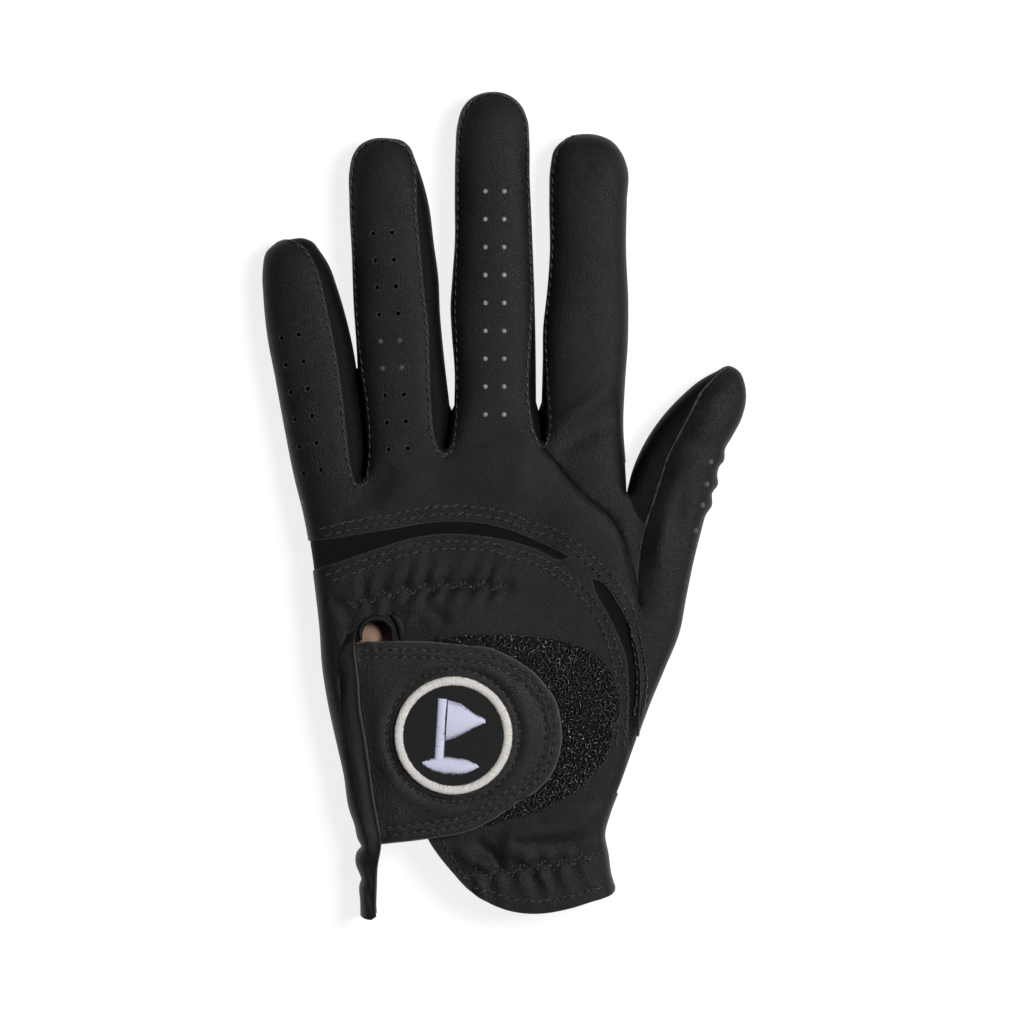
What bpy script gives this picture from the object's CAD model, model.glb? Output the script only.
"""A left-hand golf glove, palm down, seen from straight above.

The glove is one inflated form. A flat pattern holds the outline, the seams and the cut-outs as
constrained edges of one triangulation, a Poisson solve on it gives the puffiness, and each panel is
then cut from that form with its own thickness, so neighbours meet edge to edge.
Lengths are in millimetres until a mesh is made, when they become metres.
"""
import math

import bpy
import numpy as np
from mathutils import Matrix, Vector
from mathutils.bvhtree import BVHTree
from mathutils.geometry import delaunay_2d_cdt


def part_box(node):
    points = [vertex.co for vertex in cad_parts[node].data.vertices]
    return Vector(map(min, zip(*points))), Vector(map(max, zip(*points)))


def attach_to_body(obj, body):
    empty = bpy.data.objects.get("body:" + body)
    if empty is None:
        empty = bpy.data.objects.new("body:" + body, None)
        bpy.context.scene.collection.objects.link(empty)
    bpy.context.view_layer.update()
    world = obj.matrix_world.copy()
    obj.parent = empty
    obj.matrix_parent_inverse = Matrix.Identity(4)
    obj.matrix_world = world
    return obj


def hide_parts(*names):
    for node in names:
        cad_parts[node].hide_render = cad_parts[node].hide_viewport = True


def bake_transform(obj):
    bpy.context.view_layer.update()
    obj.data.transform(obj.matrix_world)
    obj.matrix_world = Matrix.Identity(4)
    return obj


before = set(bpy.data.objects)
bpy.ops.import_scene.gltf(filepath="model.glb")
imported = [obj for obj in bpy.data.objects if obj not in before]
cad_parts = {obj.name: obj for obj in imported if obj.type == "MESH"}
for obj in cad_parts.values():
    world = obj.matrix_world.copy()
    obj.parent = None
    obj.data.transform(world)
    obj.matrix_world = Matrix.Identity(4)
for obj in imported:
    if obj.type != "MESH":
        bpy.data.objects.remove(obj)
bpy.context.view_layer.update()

MM = 0.001
random = np.random.default_rng(7)


def mm_box(node):
    """The lowest and highest corner of a CAD node."""
    low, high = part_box(node)
    return np.array(low) / MM, np.array(high) / MM


# ---- Driving dimensions ------------------------------------------------------------------------
LEATHER = 0.55                  # thickness of the leather
SIDE_HEIGHT = 5.4               # height of the glove's outermost edge above the floor
TOP_RISE = 9.5                  # how far the back can rise above that edge
TOP_FULLNESS = 6.3              # the smaller, the sooner it rises
BOTTOM_DROP = 6.2               # the same two for the palm, which falls from the edge
BOTTOM_FULLNESS = 2.6
REST_Z = 0.03                   # the palm's lowest height
OVERLAP_LIFT = 0.42             # how far a panel stands above the panel it is sewn over
KNIT_RECESS = 0.45              # how deep the stretch bands lie
PALM_HOLLOW = 9.5               # rise of the palm under the vent hole
PALM_HOLLOW_RADIUS = 9.0
LIP = 0.14                      # how far a cut edge turns down
EDGE_BAND = 0.25                # width of the worn edge on a plate
PERFORATION = 0.6               # radius of a hole
SEAM_ALLOWANCE = 0.75           # from a row of stitches to the leather's edge
STITCH_LENGTH = 1.75
STITCH_PITCH = 2.45
STITCH_SLANT = 0.28             # how far each stitch runs across its row
THREAD = 0.17                   # radius
THREAD_STEPS = 6
NEEDLE_HOLE_SIZE = (0.5, 0.34)  # half length and half width

GRID = 1.0                      # pitch of the pattern's triangular grid
TRIANGLE_ROW = 0.866            # row spacing of such a grid, for a pitch of 1
EDGE_ROWS = (0.12, 0.4, 0.85, 1.45, 2.2, 3.0)
SEAM_ROWS = (0.28, 0.8)
LINE_STEP = 0.8                 # spacing of points along a smooth line
ON_EDGE = 1e-3                  # nearer than this, a point is on the outline
OPEN_END_Y = -111.9             # below this the back and the palm aren't joined
ABOVE_ALL = 90                  # height that rays are dropped from
MISSED_HEIGHT = 8.0             # height taken where a ray meets nothing

# ---- Pattern, in plan: x to the thumb, y to the fingertips ---------------------------------------
LEFT_EDGE = [(-37.2, -112), (-37.3, -103), (-37.5, -99), (-37, -97.1), (-37.5, -95.6), (-38.5, -93),
             (-38.2, -90.4), (-37, -88.8), (-38, -86.6), (-38.8, -83), (-40.2, -79), (-41.6, -70),
             (-43.4, -62), (-45.6, -52), (-47.2, -42), (-47.9, -32), (-49.2, -20.5), (-50.4, -11.5),
             (-52.1, -2.3), (-54.4, 7), (-56.9, 19.5), (-59.4, 33), (-61.5, 44), (-62.5, 54), (-62.7, 61),
             (-61.8, 65.6), (-59, 68.2)]
LITTLE_TIP = [(-59, 68.2), (-56, 69.1), (-52.4, 69.4), (-50, 68.4), (-48.3, 66.3), (-45.9, 62.6),
              (-43.6, 56.4), (-41.8, 50.5), (-40.3, 44.5), (-39.1, 38.5), (-38.65, 35.6)]
LITTLE_WEB = [(-38.65, 35.6), (-37.7, 28), (-36.7, 20), (-36.1, 13.5), (-36.7, 7.4)]
RING_TIP = [(-38.35, 35.6), (-38.7, 42), (-39.4, 52), (-39.9, 66), (-40.5, 79), (-40.5, 87), (-39.6, 91),
            (-37.7, 93.7), (-34.8, 95.2), (-29.8, 95.4), (-26.7, 94.8), (-24.8, 93.2), (-23.4, 90),
            (-21.6, 85), (-19.8, 78), (-18.5, 68), (-17.3, 59), (-16.9, 50), (-15.9, 39), (-14.4, 26)]
RING_WEB = [(-14.0, 24.4), (-14.5, 20), (-15.6, 15.4)]
MIDDLE_TIP = [(-13.2, 26), (-13.1, 34), (-13.9, 45), (-14.2, 51), (-13.7, 59.5), (-13.1, 68), (-13.1, 80),
              (-12.9, 92), (-12.4, 99), (-11, 103.4), (-8.4, 106.1), (-4.6, 107.4), (-0.8, 107.3),
              (2.4, 105.8), (4.7, 103.2), (5.8, 100), (6.1, 95), (6.4, 86), (7.1, 70), (7.7, 54), (8, 40),
              (8.1, 26.8)]
MIDDLE_WEB = [(8.7, 24.6), (9.4, 20.5), (9.7, 17.4)]
INDEX_TIP = [(9.5, 26.8), (9.8, 38), (9.9, 46), (10.9, 55), (11.6, 65), (11.5, 80), (11.8, 88),
             (12.9, 92.6), (15.4, 95), (19, 96), (24.2, 95.8), (27.6, 94.3), (30, 91.4), (31.5, 87.4),
             (31.3, 79), (31.1, 67), (31.7, 52), (31.6, 43), (30.8, 31), (30.4, 20), (31, 11),
             (31.4, 3.4)]
THUMB_EDGE = [(31.9, 3.2), (33.4, 9), (36.3, 15.6), (41, 22.7), (46, 28.1), (51, 32.3), (55, 34.5),
              (58.2, 36), (60.7, 34.7), (62.1, 31.7), (62.5, 27.8), (61.4, 22.8), (58.9, 17.9),
              (57, 14.5), (56.7, 11.5), (55.6, 10.2), (55, 7.7), (55.2, 5.5), (53.7, 3.2), (53.6, -0.1),
              (52.1, -2.4), (50.9, -6.5), (49, -14), (46.9, -24.2), (45.2, -33), (41.4, -42.4),
              (37.4, -52), (33.4, -63), (30.2, -72), (27, -80.4), (25.7, -85.5), (26.6, -91),
              (27.4, -96.5), (28.3, -99.4), (27.6, -103), (27.4, -112)]

SEAM_LITTLE = [(-57, 68.9), (-54.6, 67.7), (-52.1, 65.6), (-50.3, 62.4), (-48.5, 57.6), (-47.2, 51.5),
               (-45.6, 44), (-44.2, 36.5), (-43, 28), (-42.1, 20), (-41.2, 12), (-40.2, 7.4),
               (-38.9, 4.8), (-37.3, 4.2), (-36, 5.4), (-35.1, 9), (-34.7, 14), (-34.8, 20),
               (-35.5, 27.5), (-36.5, 34), (-37.4, 42), (-38.2, 53), (-38.8, 66), (-39.4, 78),
               (-39.2, 86), (-38.2, 90.6), (-36.3, 93.1), (-33.6, 94.1), (-31, 94.2)]
SEAM_RING = [(-31, 94.2), (-28, 93.6), (-25.7, 92.1), (-24.5, 89.4), (-23.9, 84), (-23.7, 76),
             (-22.9, 67), (-21.9, 56), (-20.8, 46), (-20.5, 38), (-20.3, 31), (-19.9, 24), (-19.2, 17.8),
             (-17.9, 14.2), (-16.4, 12.6), (-14.8, 12.6), (-13.5, 14.4), (-12.7, 17.8), (-12.3, 22),
             (-12, 30), (-12.2, 42), (-12.6, 51), (-12.3, 60), (-11.9, 72), (-11.7, 88), (-11.3, 97),
             (-10, 102), (-7.5, 105), (-4.6, 106.2), (-2.5, 106.2)]
SEAM_MIDDLE = [(-2.5, 106.2), (0.4, 105.4), (3.2, 103.1), (4.8, 100), (5.3, 95), (5.4, 86), (5.8, 70),
               (6.3, 55), (6, 45), (5.3, 35), (5.3, 28), (6, 22.4), (7.2, 17.6), (9.6, 14.8)]
SEAM_INDEX = [(9.6, 14.8), (11.3, 16.8), (12, 20), (11.7, 27), (11.2, 36), (11, 46), (12, 56), (12.8, 67),
              (12.7, 80), (13.1, 88), (14.3, 92.2), (16.6, 94.6), (19.4, 96.4)]
SEAM_DIAGONAL = [(9.6, 14.8), (13.6, 9.8), (18.2, 4.4), (22.6, 0.4), (26.4, -2.6), (29.2, -6.8),
                 (31.5, -12.6), (33.2, -19.4), (34.6, -26)]
SEAM_THUMB = [(57.4, 35.6), (54, 32.5), (51.2, 29.5), (48.6, 24.8), (45.3, 18.6), (42.4, 13), (40.4, 7.2),
              (38.3, 0.5), (36, -6.4), (34.9, -13), (34.4, -20), (34.6, -26)]
KNIT_TOP = [(-54, -9.6), (-47, -9), (-37, -7.4), (-28, -6), (-20, -4.6), (-13, -4.2), (-6, -4.7),
            (1.5, -6.5), (8.5, -9.4), (14.6, -12.2), (16.7, -13.4)]
KNIT_BOTTOM = [(16.7, -13.4), (14.9, -14.1), (8, -11.4), (0, -9.1), (-8, -7.8), (-16.2, -7.5),
               (-24, -8.6), (-32, -11), (-40.2, -13.8), (-49.3, -16.8), (-54, -18.4)]
SIDE_KNIT = [(22.4, -19), (24.4, -19.6), (29.2, -25.6), (32.5, -32.4), (34.3, -39), (35, -46.5),
             (34.6, -54.3), (34, -64), (32, -72)]
SIDE_KNIT_BACK = [(28.8, -74), (31.3, -66), (31.9, -56), (31.9, -45), (31.1, -38.5), (29.1, -33.4),
                  (26.3, -27.6), (23.2, -22), (22.4, -19)]
VENT_LEFT = [(-37.2, -33.4), (-37.6, -42), (-37.1, -52), (-36, -60), (-34.4, -70), (-32.9, -80),
             (-32, -88), (-32.9, -93.5), (-33.2, -100), (-33.4, -106.4)]
TAIL_HEM = [(-33.4, -106.4), (-34.6, -107.4), (-36, -107.2), (-39, -106)]
VENT_RIGHT = [(-29.1, -33.4), (-28.4, -42), (-27, -52), (-24.6, -66), (-21.6, -80), (-19.7, -86.8),
              (-17.2, -90.6), (-13.6, -95), (-9.3, -99.6), (-4.4, -102.8), (1.8, -105.1), (8, -105.7),
              (15.9, -104.6), (22, -102.8), (26.9, -101.2), (29.6, -99.6)]
PALM_HEM = [(-33.4, -106.4), (-34, -99), (-33.6, -92), (-31.2, -84), (-22, -82), (-12, -86.6), (-2, -93),
            (8, -97.2), (20, -98.2), (32, -98)]

LITTLE_START = [(-60, 2), (-38.4, 2), (-37.4, 4.2), (-36.7, 7.4)]
FINGER_START_Y = 11.0
RING_WEB_X = -15.5
MIDDLE_WEB_X = 9.75
THUMB_START = [(31.9, 3.2), (33.8, -2.2), (36.6, -5.4), (52.4, -10.6)]
LITTLE_TO_RING = [(-39.5, 45), (-40.8, 51), (-41.3, 60)]
RING_TO_MIDDLE = [(-14, 27), (-15.5, 60)]
MIDDLE_TO_INDEX = [(8.8, 27), (9, 60)]


# ---- Plane geometry --------------------------------------------------------------------------------
def smooth_line(points, step=LINE_STEP):
    """Points about step apart along a smooth line through the given ones."""
    p = np.array(points, float)
    gap = np.linalg.norm(np.diff(p, axis=0), axis=1)
    slope = np.diff(p, axis=0) / gap[:, None]
    inner = (slope[:-1] * gap[1:, None] + slope[1:] * gap[:-1, None]) / (gap[:-1] + gap[1:])[:, None]
    tangent = np.vstack([slope[:1], inner, slope[-1:]])
    pieces = []
    for i, h in enumerate(gap):
        t = np.arange(max(1, math.ceil(h / step)))[:, None] / max(1, math.ceil(h / step))
        pieces.append((2 * t**3 - 3 * t**2 + 1) * p[i] + (t**3 - 2 * t**2 + t) * h * tangent[i]
                      + (3 * t**2 - 2 * t**3) * p[i + 1] + (t**3 - t**2) * h * tangent[i + 1])
    return np.vstack(pieces + [p[-1:]])


def nearest_on(points, line):
    """For each point, its distance to the line, the length along the line and the side (+ is left)."""
    points, line = np.asarray(points, float), np.asarray(line, float)
    start, run = line[:-1], np.diff(line, axis=0)
    length = np.linalg.norm(run, axis=1)
    along = np.concatenate([[0], np.cumsum(length)])[:-1]
    distance, place, side = (np.empty(len(points)) for _ in range(3))
    for first in range(0, len(points), 4000):
        rows = slice(first, first + 4000)
        to = points[rows, None] - start
        t = np.clip((to * run).sum(2) / np.maximum(length**2, 1e-9), 0, 1)
        off = to - t[..., None] * run
        gap = np.hypot(off[..., 0], off[..., 1])
        best = gap.argmin(1)
        at = np.arange(len(best))
        distance[rows] = gap[at, best]
        place[rows] = along[best] + t[at, best] * length[best]
        cross = run[best, 0] * to[at, best, 1] - run[best, 1] * to[at, best, 0]
        side[rows] = np.where(cross >= 0, 1, -1)
    return distance, place, side


def inside(points, loop):
    """Which points lie inside a closed outline."""
    points, loop = np.asarray(points, float), np.asarray(loop, float)
    ax, ay = loop[:, 0], loop[:, 1]
    bx, by = np.roll(ax, -1), np.roll(ay, -1)
    odd = np.zeros(len(points), bool)
    for first in range(0, len(points), 8000):
        rows = slice(first, first + 8000)
        x, y = points[rows, :1], points[rows, 1:]
        crosses = (ay > y) != (by > y)
        with np.errstate(divide="ignore", invalid="ignore"):
            reach = ax + (y - ay) * (bx - ax) / (by - ay)
        odd[rows] = (crosses & (x < reach)).sum(1) % 2 == 1
    return odd


def gap_to(points, lines):
    """For each point, its distance to the nearest of the lines."""
    return np.min([nearest_on(points, line)[0] for line in lines], axis=0)


def unit(vectors):
    """Each vector at length one; a zero vector stays zero."""
    return vectors / np.maximum(np.linalg.norm(vectors, axis=-1, keepdims=True), 1e-9)


def parallel(line, distance):
    """The line moved sideways, to its left."""
    line = np.asarray(line, float)
    run = unit(np.gradient(line, axis=0))
    return line + distance * np.column_stack([-run[:, 1], run[:, 0]])


def on_circle(centre, radius, angle):
    return np.column_stack([centre[0] + radius * np.cos(angle), centre[1] + radius * np.sin(angle)])


def circle(centre, radius, count):
    """A closed line, whose last point is its first."""
    return on_circle(centre, radius, np.arange(count + 1) * 2 * math.pi / count)


def triangular_grid(low, high, pitch):
    """The points of a triangular grid over a rectangle."""
    rows = []
    for k, y in enumerate(np.arange(low[1], high[1], pitch * TRIANGLE_ROW)):
        xs = np.arange(low[0] + (k % 2) * pitch / 2, high[0], pitch)
        rows.append(np.column_stack([xs, np.full(len(xs), y)]))
    return np.vstack(rows)


def arc_length(line):
    """The length along a line to each of its points."""
    return np.concatenate([[0], np.cumsum(np.linalg.norm(np.diff(line, axis=0), axis=1))])


def along_line(line, distances):
    """Points and unit directions at the given lengths along a line, in two or three dimensions."""
    line = np.asarray(line, float)
    measure = arc_length(line)
    point = np.column_stack([np.interp(distances, measure, c) for c in line.T])
    ahead = np.column_stack([np.interp(np.asarray(distances) + 0.3, measure, c) for c in line.T])
    behind = np.column_stack([np.interp(np.asarray(distances) - 0.3, measure, c) for c in line.T])
    return point, unit(ahead - behind)


def bump(distance, width):
    """1 at distance 0, falling smoothly to nothing over about twice the width."""
    return np.exp(-((distance / width) ** 2))


def ramp(value, low, high):
    """0 up to low, 1 from high, and smooth between them."""
    t = np.clip((value - low) / (high - low), 0, 1)
    return t * t * (3 - 2 * t)


class Pattern:
    """A triangulated flat pattern: points (n, 2) and triangles (m, 3), all wound anticlockwise."""

    def __init__(self, outline, lines, rows=EDGE_ROWS, grid=GRID, seam_rows=SEAM_ROWS):
        outline = np.asarray(outline, float)
        x, y = outline.T
        if np.sum(x * np.roll(y, -1) - np.roll(x, -1) * y) < 0:
            outline = outline[::-1]
        closed = np.vstack([outline, outline[:1]])
        count = len(outline)
        groups, edges = [outline], [(i, (i + 1) % count) for i in range(count)]
        for line in lines:
            groups.append(line)
            edges += [(count + i, count + i + 1) for i in range(len(line) - 1)]
            count += len(line)
        fixed = np.vstack(groups)
        rowed = []
        for row in rows:
            moved = parallel(closed, row)[:-1]
            moved = moved[inside(moved, outline)]
            rowed.append(moved[nearest_on(moved, closed)[0] > 0.8 * row])
        for line in lines:
            rowed += [parallel(line, sign * row) for row in seam_rows for sign in (-1, 1)]
        rowed = np.vstack(rowed)
        rowed = rowed[inside(rowed, outline)]
        lattice = triangular_grid(outline.min(0), outline.max(0), grid)
        lattice = lattice[inside(lattice, outline)]
        lattice = lattice[nearest_on(lattice, closed)[0] > max(rows) + 0.4 * grid]
        if lines:
            lattice = lattice[gap_to(lattice, lines) > max(seam_rows) + 0.35 * grid]
            rowed = rowed[gap_to(rowed, lines) > 0.2]
        rowed = rowed[nearest_on(rowed, closed)[0] > 0.1]
        every = np.vstack([fixed, rowed, lattice])
        done = delaunay_2d_cdt([Vector(p) for p in every], edges, [], 0, 1e-4)
        self.points = np.array([tuple(p) for p in done[0]])
        triangles = np.array([f for f in done[2] if len(f) == 3])
        centres = self.points[triangles].mean(1)
        triangles = triangles[inside(centres, outline)]
        a, b, c = (self.points[triangles[:, k]] for k in range(3))
        cross = (b[:, 0] - a[:, 0]) * (c[:, 1] - a[:, 1]) - (b[:, 1] - a[:, 1]) * (c[:, 0] - a[:, 0])
        triangles[cross < 0] = triangles[cross < 0][:, ::-1]
        triangles = triangles[np.abs(cross) > 1e-7]
        used, back = np.unique(triangles, return_inverse=True)
        self.points = self.points[used]
        self.triangles = back.reshape(triangles.shape)
        self.centres = self.points[self.triangles].mean(1)
        self.edge_distance = nearest_on(self.points, closed)[0]

    def puff(self, held):
        """How far each point is from the held edge, as the radius of the tube it would sit on."""
        p, t = self.points, self.triangles
        count = len(p)
        rows, cols, weights = [], [], []
        mass = np.zeros(count)
        corner = [p[t[:, k]] for k in range(3)]
        u, v = corner[1] - corner[0], corner[2] - corner[0]
        area = 0.5 * np.abs(u[:, 0] * v[:, 1] - u[:, 1] * v[:, 0])
        for k in range(3):
            i, j = t[:, (k + 1) % 3], t[:, (k + 2) % 3]
            e, f = p[i] - p[t[:, k]], p[j] - p[t[:, k]]
            cot = 0.5 * np.clip((e * f).sum(1) / np.maximum(2 * area, 1e-6), -20, 20)
            rows += [i, j]
            cols += [j, i]
            weights += [cot, cot]
            mass += np.bincount(t[:, k], area / 3, count)
        rows, cols, weights = (np.concatenate(part) for part in (rows, cols, weights))
        diagonal = np.bincount(rows, weights, count)
        free = ~held

        def apply(x):
            return (diagonal * x - np.bincount(rows, weights * x[cols], count)) * free

        x = np.zeros(count)
        residual = mass * free
        scale = 1 / np.maximum(diagonal, 1e-6)
        z = scale * residual
        direction, energy = z.copy(), residual @ z
        for _ in range(1500):
            step = apply(direction)
            size = energy / (direction @ step)
            x += size * direction
            residual -= size * step
            z = scale * residual
            new = residual @ z
            if new < 1e-9 * energy or new < 1e-7:
                break
            direction = z + (new / energy) * direction
            energy = new
        return np.sqrt(2 * np.maximum(x, 0))


def open_edges(triangles):
    """The directed edges that no second triangle shares, as an (n, 2) array."""
    edges = np.vstack([triangles[:, [0, 1]], triangles[:, [1, 2]], triangles[:, [2, 0]]])
    base = int(triangles.max()) + 1
    key = edges.min(1).astype(np.int64) * base + edges.max(1)
    _, first, count = np.unique(key, return_index=True, return_counts=True)
    return edges[first[count == 1]]


def point_normals(points, triangles):
    """The unit normal at each point, averaged over its triangles by area."""
    a, b, c = (points[triangles[:, k]] for k in range(3))
    face = np.cross(b - a, c - a)
    total = np.zeros_like(points)
    for k in range(3):
        for axis in range(3):
            total[:, axis] += np.bincount(triangles[:, k], face[:, axis], len(points))
    return unit(total)


# ---- The pattern and the inflated form ---------------------------------------------------------------
little_web, ring_web, middle_web = (smooth_line(web) for web in (LITTLE_WEB, RING_WEB, MIDDLE_WEB))
outline = np.vstack([
    smooth_line(LEFT_EDGE), smooth_line(LITTLE_TIP), little_web,
    little_web[::-1], smooth_line(RING_TIP), ring_web,
    ring_web[::-1], smooth_line(MIDDLE_TIP), middle_web,
    middle_web[::-1], smooth_line(INDEX_TIP), smooth_line(THUMB_EDGE)])
outline = outline[np.linalg.norm(outline - np.roll(outline, 1, axis=0), axis=1) > 0.05]


def leather_edge(stitched):
    """The edge of the leather just outside its row of stitches, meeting it again at both ends."""
    measure = arc_length(stitched)
    share = ramp(measure, 0, 4) * ramp(measure[-1] - measure, 0, 4)
    return stitched + (parallel(stitched, SEAM_ALLOWANCE) - stitched) * share[:, None]


trank_row = smooth_line(SEAM_LITTLE + SEAM_RING[1:] + SEAM_MIDDLE[1:])
index_row = smooth_line(SEAM_INDEX)
seams = {
    "trank": leather_edge(trank_row),
    "index": leather_edge(index_row),
    "diagonal": smooth_line(SEAM_DIAGONAL),
    "thumb": smooth_line(SEAM_THUMB),
}
knit = {"top": smooth_line(KNIT_TOP), "bottom": smooth_line(KNIT_BOTTOM),
        "side": smooth_line(SIDE_KNIT), "side_back": smooth_line(SIDE_KNIT_BACK)}
knit_loop = np.vstack([knit["top"], knit["bottom"][1:]])
side_knit_loop = np.vstack([knit["side"], [(45, -75), (29.4, -90)], knit["side_back"][:-1]])
vent_left, vent_right = smooth_line(VENT_LEFT), smooth_line(VENT_RIGHT)
HOLE_CENTRE = np.array([(vent_left[0, 0] + vent_right[0, 0]) / 2, vent_left[0, 1]])
HOLE_RADIUS = (vent_right[0, 0] - vent_left[0, 0]) / 2
hole = on_circle(HOLE_CENTRE, HOLE_RADIUS, np.linspace(math.pi, 0, 17))
tail_hem = smooth_line(TAIL_HEM)
vent = np.vstack([tail_hem[::-1], vent_left[::-1], hole[1:-1], vent_right])
palm_hem = smooth_line(PALM_HEM)

finger_start = [smooth_line(line) for line in (
    LITTLE_START,
    [(-36.05, FINGER_START_Y), (RING_WEB_X, FINGER_START_Y)],
    [(RING_WEB_X, FINGER_START_Y), (RING_WEB_X, 15.4)],
    [(RING_WEB_X, FINGER_START_Y), (MIDDLE_WEB_X, FINGER_START_Y)],
    [(MIDDLE_WEB_X, FINGER_START_Y), (MIDDLE_WEB_X, 17.4)],
    [(MIDDLE_WEB_X, FINGER_START_Y), (34, FINGER_START_Y)],
    THUMB_START,
)]


def grid_between(a, b, count, across, spread):
    """Rows of holes: count pairs from a to b, with the pairs' two holes spread apart."""
    rows = np.linspace(a, b, count)
    return [row + sign * np.array(across) * spread / 2 for row in rows for sign in (-1, 1)]


little_holes = grid_between((-55.6, 43.7), (-49.9, 8.6), 6, (0.97, 0.2), 4.6)
ring_holes = grid_between((-31.7, 70.4), (-27.6, 14.5), 9, (1, 0.05), 4.9)
middle_holes = grid_between((-2.6, 81.2), (-2.6, 23.4), 9, (1, 0), 4.8)
thumb_holes = [np.array(p) for p in ((53.2, 11.2), (52.2, 5.4), (51.1, 0), (49.3, -6.6))]
perforations = little_holes + ring_holes + middle_holes + thumb_holes
circles = [circle(p, PERFORATION, 10) for p in perforations]

cut_lines = [*seams.values(), *knit.values(), vent, palm_hem]
pattern = Pattern(outline, cut_lines + finger_start + circles)
xy, faces, centres = pattern.points, pattern.triangles, pattern.centres
held = (pattern.edge_distance < ON_EDGE) & (xy[:, 1] > OPEN_END_Y)
puff = pattern.puff(held)


# ---- Folds and seams, as changes in height ------------------------------------------------------------
def fold(line, height, width):
    """A ridge, or a valley where height is negative, that dies away at both ends of a line."""
    line = smooth_line(line)
    distance, place, _ = nearest_on(xy, line)
    total = arc_length(line)[-1]
    fade = np.sin(np.pi * np.clip(place / total, 0, 1)) ** 0.6
    return height * fade * bump(distance, width)


KNUCKLE_GATHER = [(-38.6, -25.5), (-33.2, -23.6), (-27, -22.1), (-20, -21.2), (-12, -20.6), (-5, -21.2),
                  (0.4, -21.2)]
HEEL_GATHER = [(-10.8, -95.6), (-5, -95.2), (2, -94.5), (9.5, -93.2), (16.5, -92.2), (22.6, -90.2)]


FOLDS = [  # line, height and width of each ridge; a valley's height is negative
    # index finger
    ([(11.6, 17.6), (17, 22.6), (22.6, 27), (28.5, 31), (31.5, 36)], 0.75, 2.4),
    ([(13, 12), (19, 17.6), (25, 21), (30, 24)], -0.8, 3.0),
    ([(22, 88.5), (26.5, 86.5), (31, 85.5)], 0.45, 2.8),
    # left side, down to the tail
    ([(-41, -30), (-39.6, -36), (-40.6, -43), (-41, -50)], -0.8, 1.5),
    ([(-44.6, -44), (-43, -52), (-41.4, -60), (-40.6, -68)], 0.7, 1.6),
    ([(-42.5, -60), (-39.4, -66), (-37.6, -74), (-36.4, -82)], -0.7, 1.5),
    ([(-39.6, -72), (-37.8, -80), (-36, -88)], 0.6, 1.2),
    # heel
    ([(22, -82), (15, -84.2), (6, -84.8), (1.4, -86), (1.2, -88.6), (5.4, -90.4), (7.5, -93)], 0.9, 1.9),
    ([(23.5, -86.4), (15.5, -87.6), (9.5, -87.6), (6, -87.2)], -0.55, 1.7),
    ([(-8, -86.6), (-5.4, -89), (-2.5, -91.4), (0, -94)], -1.0, 1.6),
    ([(-13, -88.5), (-10.4, -90.5), (-7, -92.6), (-4, -94)], 0.8, 1.5),
    ([(25, -79), (18, -80.6), (10, -82.4)], 0.8, 2.2),
    # round the gathers
    ([(-24, -29), (-19.6, -28.4), (-14, -30)], -1.0, 1.8),
    ([(-27, -26.6), (-22, -27.4), (-17.6, -31)], 0.6, 1.6),
    ([(-45.6, -24), (-41.6, -27), (-38.8, -31)], -0.7, 1.7),
    # knuckles
    ([(-20, 8), (-26, 4), (-33, -0.5)], 0.5, 2.8),
    ([(-29, 10), (-33, 5), (-38, 0.5), (-44, -3)], -0.45, 2.4),
    ([(3, 14), (4, 8), (3.4, 2)], 0.3, 3.0),
    # thumb
    ([(43, -2), (40.6, -9), (39.6, -17)], 0.6, 2.0),
    ([(47, 6), (44.6, -2), (44, -10)], -0.5, 2.2),
    ([(52, 26), (55.4, 28.4), (59, 28.4)], 0.4, 1.8),
    ([(48.5, 19), (52.5, 20.5), (57, 20)], 0.45, 2.2),
    ([(45.5, 12.5), (50, 14.5), (55, 14.6)], -0.4, 2.2),
    ([(43, 7), (47.5, 9), (53, 8.6)], 0.45, 2.2),
    # broad swells
    ([(-14, -22), (-11, -33), (-8, -45)], 1.2, 13.0),
    ([(-6, 16), (-1, 4), (3, -6)], 0.9, 12.0),
    ([(20, 4), (17, -6), (12, -12)], 0.7, 7.0),
]


def gathers(line, height, pitch, first_peak, above, below, lean):
    """Puckers drawn up by an elastic: above its zigzag they rise at the troughs, below it at the peaks."""
    line = smooth_line(line)
    distance, place, side = nearest_on(xy, line)
    total = arc_length(line)[-1]
    reach = np.where(side > 0, above, below)
    wander = (0.35 * np.sin(xy[:, 0] * 0.31 + 1.3) + 0.3 * np.sin(xy[:, 1] * 0.45)) * ramp(distance, 1, 4)
    middle = first_peak + np.where(side > 0, pitch / 2, 0)
    phase = 2 * np.pi * (place - middle - lean * side * distance + wander) / pitch
    shape = 0.5 + 0.5 * np.cos(phase)
    strength = 0.75 + 0.25 * np.sin(place * 0.37 + 0.7)
    ends = ramp(place, 0, 3) * (1 - ramp(place, total - 4, total))
    rise = 0.35 + 0.65 * ramp(distance, 0.3, 1.6)
    return height * strength * ends * rise * (shape**1.3 - 0.45) * np.exp(-(distance / reach) ** 1.6)


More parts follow.
